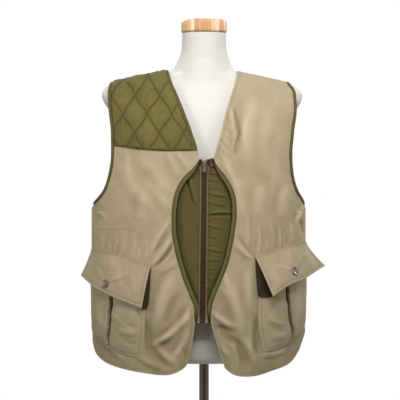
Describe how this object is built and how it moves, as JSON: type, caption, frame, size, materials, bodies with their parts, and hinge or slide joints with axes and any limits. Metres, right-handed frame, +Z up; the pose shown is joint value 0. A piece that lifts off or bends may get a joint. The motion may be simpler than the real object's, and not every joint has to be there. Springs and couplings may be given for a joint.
{
  "type": "outdoor vest on a dress form",
  "caption": "Sleeveless zip-front outdoor vest with a quilted shoulder patch, bound edges and flap pockets, worn by a limbless dress form on a pole with a round foot.",
  "frame": {"origin": "on the floor, under the middle of the whole object", "axes": "+Z up, the vest's front faces -Y, +X is the wearer's left"},
  "size_m": [0.5592, 0.34, 1.5516],
  "materials": {
    "tan_poplin": "satin woven cotton",
    "olive_quilted": "matte quilted cotton",
    "olive_lining": "matte woven cotton",
    "olive_binding": "matte folded tape",
    "brown_zip_tape": "matte woven tape",
    "zip_metal": "antiqued",
    "horn_button": "semi gloss",
    "white_jersey": "matte knit",
    "oiled_wood": "satin oiled",
    "polished_steel": "polished"
  },
  "bodies": {
    "vest_and_form": {"front_right": "tan_poplin", "front_left": "tan_poplin", "back": "tan_poplin", "pocket_right": "tan_poplin", "pocket_left": "tan_poplin", "pocket_flap_right": "tan_poplin", "pocket_flap_left": "tan_poplin", "shoulder_patch": "olive_quilted", "v_neck_strip": "olive_binding", "armhole_binding_right": "olive_binding", "armhole_binding_left": "olive_binding", "pouch_binding_right": "olive_binding", "pouch_binding_left": "olive_binding", "inner_front_right": "olive_lining", "inner_front_left": "olive_lining", "zip_tape_right": "brown_zip_tape", "zip_tape_left": "brown_zip_tape", "zip_chain": "zip_metal", "zip_stop": "zip_metal", "zip_slider": "zip_metal", "pocket_button_right": "horn_button", "pocket_button_left": "horn_button", "form_torso": "white_jersey", "neck_cap": "oiled_wood", "pole": "polished_steel", "base_plate": "polished_steel"},
    "pull_tab": {"zip_pull": "zip_metal"}
  },
  "joints": [
    {"name": "zip_pull_swing", "type": "hinge", "parent": "vest_and_form", "child": "pull_tab", "pos_m": [0.00342, -0.13647, 1.22029], "axis": [1, 0, 0], "range_deg": [-150, 0]}
  ]
}
